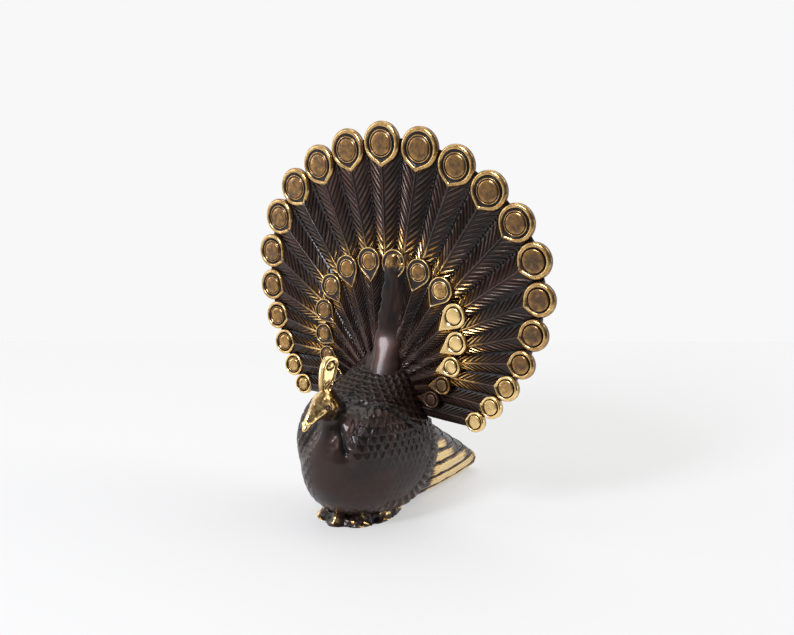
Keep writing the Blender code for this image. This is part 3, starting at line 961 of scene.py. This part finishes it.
def buildBird(material):
    points, faces = [], []
    for skin in (bodySkin(), wingSkin(-1.0), wingSkin(1.0), neckSkin()):
        start = len(points)
        points.extend(skin.reshape(-1, 3))
        faces.extend([tuple(start + i for i in face) for face in cappedFaces(*skin.shape[:2])])
    bird = meshPiece("bird", points, faces)
    turnOutwards(bird)
    weld = bird.modifiers.new("one_skin", "REMESH")
    weld.mode = "VOXEL"
    weld.voxel_size = birdShape["voxel"] * mm
    evaluatedMesh(bird)
    points, edges = meshArrays(bird.data)[::2]
    for _ in range(birdShape["smoothings"]):
        # the head keeps its shape better than the rest
        keep = 0.35 + 0.55 * smoothStep(-30.0, -33.0, points[:, 1]) * smoothStep(31.0, 34.0, points[:, 2])
        points = points * keep[:, None] + neighbourMean(points, edges) * (1 - keep[:, None])
    setPoints(bird.data, points)
    points, normals = meshArrays(bird.data)[:2]
    lift, level, worn = birdRelief(points)
    setPoints(bird.data, points + normals * lift[:, None])
    setField(bird.data, "height", level)
    setField(bird.data, "worn", worn)
    finishPiece(bird, material, 70)
    print("stage: bird")
    return bird


bird = buildBird(darkBrass)


# The upright crest: a flat feather with a rounded top
crestShape = {
    "middleY": -30.5, "middleZ": 45.7, "lean": 0.42, "low": 40.4, "high": 51.6, "half": 2.6, "thick": 0.55,
    "dot": 49.2, "lines": (44.6, 45.4), "faded": (45.5, 42.0),  # heights of its dot, lines and darker foot
}


def buildCrest(material):
    turn = anglesRound(80)
    half = crestShape["half"]
    topZ = crestShape["high"] - half
    outY = half * signedPower(np.cos(turn), 0.9)
    outZ = np.where(np.sin(turn) > 0, topZ + half * np.sin(turn),
                    topZ + (topZ - crestShape["low"]) * signedPower(np.sin(turn), 0.8))
    outY = outY * (1 - 0.28 * smoothStep(topZ, crestShape["low"], outZ))
    middle = 0.5 * (crestShape["low"] + crestShape["high"])
    rings, heights, worns = [], [], []
    shares = np.linspace(0.03, 1.0, 22)
    for face in (1, -1):
        for share in (shares if face == 1 else shares[::-1]):
            z = middle + (outZ - middle) * share
            across = outY * share
            y = crestShape["middleY"] + crestShape["lean"] * (z - crestShape["middleZ"]) + across
            thick = crestShape["thick"] * (1 - 0.5 * smoothStep(0.92, 1.0, share))
            rim = 0.34 * smoothStep(0.76, 0.82, share) - 0.12 * bump(share - 0.72, 0.05)
            dot = np.hypot(across, z - crestShape["dot"])
            detail = (0.45 * smoothStep(1.0, 0.6, dot) - 0.24 * bump(dot - 1.25, 0.22)) * (share < 0.8)
            lines = np.sin((z - 0.8 * across) * 5.0) * (share < 0.9)
            lines = lines * (1 - smoothStep(*crestShape["lines"], z))
            x = face * (thick + rim + detail + 0.16 * lines) + 0.26 * across - 0.08 * (z - 45.0)
            rings.append(np.stack([x, y, z], axis=-1))
            # its sunk rim and the ring round its dot count low, painted dark as oxide and painted shade
            hollow = 5.0 * min(rim, 0) + 4.0 * np.minimum(detail, 0)
            heights.append(np.clip(0.92 + hollow + 0.5 * lines, 0, 1))
            worns.append(0.88 - 0.36 * smoothStep(*crestShape["faded"], z))
    ringedPiece("crest", rings, worns, heights, material)
    print("stage: crest")


buildCrest(darkBrass)


# The foot pad, with toes round its front edge and a flat underside
padShape = {
    "halfWidth": 10.3, "length": 28.0, "front": 0.46, "height": 5.0, "middleY": -15.6,
    "toes": 8, "toeLength": 0.07,
}


def buildPad(material):
    turn = anglesRound(160)
    back = np.cos(turn)
    toeShape = np.cos(padShape["toes"] * turn)
    toes = 1.0 + padShape["toeLength"] * toeShape * np.maximum(0.0, -back)
    rings, heights, worns = [], [], []
    reach = np.where(back < 0, padShape["front"], 1 - padShape["front"]) * padShape["length"]
    for t in np.linspace(0, 1, 26).tolist():
        # the skin goes out along the ground, round the toes and up under the body
        rise = padShape["height"] * 1.3 * smoothStep(0.12, 1.0, t)
        spread = 0.99 + 0.05 * math.sin(math.pi * min(1, t * 3.2)) - 0.36 * float(smoothStep(0.25, 0.95, t))
        x = padShape["halfWidth"] * spread * toes * np.sin(turn)
        y = padShape["middleY"] + reach * spread * toes * back
        points = np.stack([x, y, rise + 0 * x], axis=-1)
        lumps = 0.5 * softNoise(points, 1.9, 11) + 0.5 * softNoise(points, 0.9, 12)
        free = float(smoothStep(0.02, 0.2, t))
        push = 1 + 0.18 * (lumps - 0.5) * free
        points[:, 0] *= push
        points[:, 1] = padShape["middleY"] + (points[:, 1] - padShape["middleY"]) * push
        points[:, 2] += free * (1.1 * (lumps - 0.5) + 0.5 * toeShape * np.maximum(0, -back))
        points[:, 2] = np.maximum(points[:, 2], 0.0)
        rings.append(points)
        heights.append(np.clip(0.35 + 0.9 * (lumps - 0.3) + 0.25 * toeShape, 0, 1))
        worns.append(0.30 + 0.62 * smoothStep(0.45, 0.65, lumps) - 0.25 * float(smoothStep(0.6, 0.9, t)))
    ringedPiece("foot_pad", rings, worns, heights, material)
    print("stage: pad")


buildPad(darkBrass)


# The lower tail: long feathers laid over each other, closed to a blunt end near the ground
tailShape = {
    "stations": ((-2.0, 0.9, 25.0, 13.0), (6.0, 0.6, 24.5, 13.4), (13.0, 0.4, 21.5, 12.4),
                 (20.0, 0.3, 17.0, 11.0), (28.0, 0.4, 12.0, 9.2), (34.0, 0.9, 7.8, 7.8),
                 (37.0, 1.8, 5.6, 6.4)),
    "grooves": (3.3, 7.2, 11.4, 15.2, 18.6),
    "converge": 0.22, "cut": 0.8, "steps": 7.0,
}


def buildTail(material):
    stations = smoothStations(tailShape["stations"], 120)
    turn = anglesRound(240)
    rings, heights, worns = [], [], []
    for y, low, high, half in stations:
        far = np.clip((y - 5) / 32, 0, 1)
        narrow = 1 - tailShape["converge"] * far
        # the top is stepped where each feather ends
        beat = (y / tailShape["steps"]) % 1.0
        high = high + 0.45 * (0.5 - beat) * float(smoothStep(4, 8, y))
        x = half * signedPower(np.sin(turn), 0.62)
        z = 0.5 * (low + high) - 0.5 * (high - low) * signedPower(np.cos(turn), 0.9)
        rise = (z - low) / narrow
        cut = np.zeros(len(turn))
        for place in tailShape["grooves"]:
            cut = np.maximum(cut, bump(rise - place - 0.10 * math.sin(0.7 * y + place), 0.50))
        feather = np.searchsorted(tailShape["grooves"], rise)
        fine = np.sin(rise * 8.0 + 0.5 * np.sin(0.9 * y)) * 0.5 + np.sin(rise * 13.0 + y * 0.2) * 0.5
        onSide = smoothStep(0.25, 0.5, np.abs(np.sin(turn)))
        inwards = tailShape["cut"] * cut * onSide + 0.16 * fine * onSide
        x = x - np.sign(x) * inwards * np.minimum(1, np.abs(x))
        rings.append(np.stack([x, y + 0 * x, z], axis=-1))
        # the two lowest feathers are bare to their tips, and the upper ones darken toward theirs
        reach = np.interp(feather, (1, 2, 3, 4, 5), (1.0, 0.80, 0.48, 0.36, 0.0)) + 0.05 * fine
        topDown = smoothStep(0.8, 2.4, high - z)
        bare = smoothStep(reach + 0.1, reach - 0.25, far) * topDown
        bare = np.maximum(bare, float(smoothStep(0.86, 0.95, far)))
        # the grooves between the feathers count low, painted dark as oxide and painted shade
        heights.append(np.clip((0.88 - 1.6 * cut * onSide + 0.42 * fine) * (0.22 + 0.78 * bare), 0, 1))
        worns.append(0.10 + 0.92 * bare * onSide * smoothStep(2.0, 6.0, y))
    ringedPiece("lower_tail", rings, worns, heights, material)
    print("stage: tail")


buildTail(darkBrass)


# The rib: a smooth tapering bar up the middle of the short feathers
ribShape = {
    "low": 40.0, "high": 76.2, "half": 3.8, "proud": 1.5, "lean": 2.0,
    "bend": 52.0, "slope": 0.45, "blend": 1.1, "turned": 0.37,
}


def buildRib(material):
    turn = anglesRound(60)
    rootZ = float(rootOf(shortFeathers, 0.0))
    rings, heights, worns = [], [], []
    for t in np.linspace(0, 1, 130).tolist():
        z = ribShape["low"] + (ribShape["high"] - ribShape["low"]) * t
        share = (z - rootZ) / (shortFeathers["height"] + shortFeathers["radius"] - rootZ)
        base = featherPoint(shortFeathers, 0.0, share, 1.0)[1]
        end = math.sqrt(max(0.05, 1 - max(0, (t - 0.97) / 0.03) ** 2))
        # the foot is a flat smooth slope
        foot = float(smoothStep(ribShape["bend"] + 3, ribShape["bend"] - 3, z))
        forward = ribShape["blend"] * math.log1p(math.exp((ribShape["bend"] - z) / ribShape["blend"]))
        half = (ribShape["half"] + 0.20 * math.sin(0.9 * z) + 0.10 * math.sin(2.3 * z)) * end
        front = base - ribShape["proud"] * end - ribShape["slope"] * forward
        out = signedPower(np.maximum(np.cos(turn), -0.4), 0.42 - 0.12 * foot)
        middle = 0.7 + ribShape["lean"] * t + 0.6 * ribShape["slope"] * forward
        ring = np.stack([middle + half * np.sin(turn), base + 0.6 + (front - base - 0.6) * out,
                         z + 0 * turn], axis=-1)
        ring[:, 1] += ribShape["turned"] * half * np.sin(turn)
        ring[:, 1] = np.minimum(ring[:, 1], base + 0.9)  # its back stays inside the fan
        # streaks and lumps run up the bar above its foot
        above = float(smoothStep(0.34, 0.46, t))
        rough = softNoise(ring * (1, 1, 0.2), 0.75, 31) + softNoise(ring * (1, 1, 0.5), 1.9, 32) - 1.0
        lumps = softNoise(ring, 1.3, 33) - 0.5
        top = float(smoothStep(0.84, 0.92, t))
        ring[:, 1] -= (0.16 * rough * above + 0.9 * lumps * top) * (out > 0)
        rings.append(ring)
        heights.append(np.clip(0.36 + 0.19 * foot + 0.5 * rough * above + 0.4 * top, 0, 1))
        worns.append(0.16 + (0.44 + 0.9 * lumps) * top)
    ringedPiece("fan_rib", rings, worns, heights, material)
    print("stage: rib")


buildRib(darkBrass)


# Fine strands that fan out from the bird's back over the foot of the feathers
hackleShape = {
    "count": 150, "hub": 43.5, "reachX": 7.2, "reachZ": 6.4, "shortest": 3.5, "longest": 8.5, "thick": 0.24,
    "spread": 98, "gap": 0.26, "bend": 0.12, "steps": 8, "fall": 4.5,  # fall: the most depth that one crosses
}


def buildHackles(material, ground):
    surface = bmesh.new()
    for piece in ground:
        surface.from_mesh(piece.data)
    tree = BVHTree.FromBMesh(surface)
    surface.free()
    rng = np.random.default_rng(19)
    shares = (np.sin(np.pi * np.linspace(0.06, 0.96, hackleShape["steps"])) ** 0.6).tolist()
    lines = []
    for index in range(hackleShape["count"]):
        place = (index + rng.uniform(-0.5, 0.5)) / hackleShape["count"]
        spread = math.radians(hackleShape["spread"] * (2 * place - 1))
        if abs(spread) < hackleShape["gap"]:
            continue
        start = rng.uniform(0.92, 1.5)
        length = rng.uniform(hackleShape["shortest"], hackleShape["longest"])
        bend = rng.uniform(-hackleShape["bend"], hackleShape["bend"])
        line = []
        for step in np.linspace(0, 1, hackleShape["steps"]):
            angle = spread + bend * step
            x = (hackleShape["reachX"] * start + length * step) * math.sin(angle)
            z = hackleShape["hub"] + (hackleShape["reachZ"] * start + length * step) * math.cos(angle)
            hit = tree.ray_cast(Vector((x, -18.0 + depthShift, z)) * mm, Vector((0, 1, 0)))[0]
            if hit is None:
                break
            line.append((x, hit.y / mm - depthShift - 0.05, z))
        deep = [point[1] for point in line]
        if len(line) == hackleShape["steps"] and max(deep) - min(deep) < hackleShape["fall"]:
            lines.append((line, shares))
    ridgesOnLines("hackle_strands", lines, hackleShape["thick"], 0.13, 0.8, material, 5)
    print("stage: hackles")


buildHackles(darkBrass, [bird, *fanPlates])


# The camera and the studio
photoView = {
    "azimuth": 35.77, "elevation": 16.06, "distance": 0.650,
    "target": (0.00259, 0.0025, 0.05697), "lens": 100.2, "sensor": 36.0,
}
studio = {
    "tableBehind": 0.166, "tableFront": 0.30, "tableSide": 0.9,
    "table": "#969696", "tableGlow": "#b8b8b8", "wall": "#f8f8f8",
    "lightTarget": (0, 0, 0.05), "lightDistance": 0.9,
    # degrees round from the camera and up, width and height in metres, watts, colour
    "lights": (("window", -42, 42, (0.22, 0.30), 5.3, "#f4f6ff"),
               ("strip_right", 78, 5, (0.14, 0.30), 0.6, "#ffffff"),
               ("softbox_right", 100, 45, (0.5, 0.5), 2.0, "#fffaf2"),
               ("strip_left", -96, 14, (0.10, 0.45), 0.9, "#f4f6ff"),
               ("overhead", 180, 70, (0.7, 0.7), 2.5, "#ffffff")),
}


def aimAt(thing, target, azimuth, elevation, distance):
    # puts a camera or light at its distance from the target, looking at it
    turn, rise = math.radians(azimuth), math.radians(elevation)
    back = Vector((math.sin(turn) * math.cos(rise), -math.cos(turn) * math.cos(rise), math.sin(rise)))
    thing.location = Vector(target) + back * distance
    thing.rotation_mode = "QUATERNION"
    thing.rotation_quaternion = (-back).to_track_quat("-Z", "Y")


def placeCamera():
    data = bpy.data.cameras.new("photo_camera")
    data.lens = photoView["lens"]
    data.sensor_width = photoView["sensor"]
    data.clip_start, data.clip_end = 0.01, 20.0
    camera = addObject("photo_camera", data)
    aimAt(camera, photoView["target"], photoView["azimuth"], photoView["elevation"], photoView["distance"])
    bpy.context.scene.camera = camera


def softLight(name, azimuth, elevation, size, watts, colour):
    data = bpy.data.lights.new(name, "AREA")
    data.shape = "RECTANGLE"
    data.size, data.size_y = size
    data.energy = watts
    data.color = linear(colour)[:3]
    aimAt(addObject(name, data), studio["lightTarget"], photoView["azimuth"] + azimuth, elevation,
          studio["lightDistance"])


def buildTable():
    turn = math.radians(photoView["azimuth"])
    ahead = Vector((-math.sin(turn), math.cos(turn), 0))
    right = Vector((math.cos(turn), math.sin(turn), 0))
    corners = []
    for forward, side in ((-1, -1), (-1, 1), (1, 1), (1, -1)):
        depth = studio["tableBehind"] if forward > 0 else studio["tableFront"]
        corners.append(ahead * forward * depth + right * side * studio["tableSide"])
    mesh = bpy.data.meshes.new("table_top")
    mesh.from_pydata([tuple(c) for c in corners], [], [(0, 1, 2, 3)])
    table = addObject("table_top", mesh)
    material = bpy.data.materials.new("white_table")
    material.use_nodes = True
    shader = material.node_tree.nodes["Principled BSDF"]
    shader.inputs["Base Color"].default_value = linear(studio["table"])
    shader.inputs["Roughness"].default_value = 0.7
    shader.inputs["Emission Color"].default_value = linear(studio["tableGlow"])
    shader.inputs["Emission Strength"].default_value = 1.0
    mesh.materials.append(material)


def paintWorld():
    # the wall is plain white to the eye, and lights the figure more from behind, above and the left
    world = bpy.data.worlds.new("studio")
    bpy.context.scene.world = world
    world.use_nodes = True
    tree = world.node_tree
    tree.nodes.clear()
    place = addNode(tree, "ShaderNodeTexCoord").outputs["Generated"]
    turn = math.radians(photoView["azimuth"])
    light = 0.0
    for toward, low, high, least, most in (((-math.sin(turn), math.cos(turn), 0.0), -0.8, 0.7, 0.10, 0.80),
                                           ((0.0, 0.0, 1.0), 0.2, 0.9, 0.0, 0.10),
                                           ((-math.cos(turn), -math.sin(turn), 0.0), 0.25, 0.85, 0.0, 0.45)):
        share = addNode(tree, "ShaderNodeVectorMath", {0: place, 1: toward}, operation="DOT_PRODUCT")
        part = addNode(tree, "ShaderNodeMapRange", {
            "Value": share.outputs["Value"], "From Min": low, "From Max": high,
            "To Min": least, "To Max": most}, interpolation_type="SMOOTHSTEP").outputs["Result"]
        light = addNode(tree, "ShaderNodeMath", {0: part, 1: light}, operation="ADD").outputs[0]
    studioLight = addNode(tree, "ShaderNodeBackground", {"Color": (1, 1, 1, 1), "Strength": light})
    wall = addNode(tree, "ShaderNodeBackground", {"Color": linear(studio["wall"]), "Strength": 1.0})
    seen = addNode(tree, "ShaderNodeLightPath").outputs["Is Camera Ray"]
    both = addNode(tree, "ShaderNodeMixShader", {0: seen, 1: studioLight.outputs[0], 2: wall.outputs[0]})
    addNode(tree, "ShaderNodeOutputWorld", {"Surface": both.outputs[0]})


placeCamera()
buildTable()
paintWorld()
for light in studio["lights"]:
    softLight(*light)
bpy.context.scene.view_settings.view_transform = "Standard"
print("stage: studio")
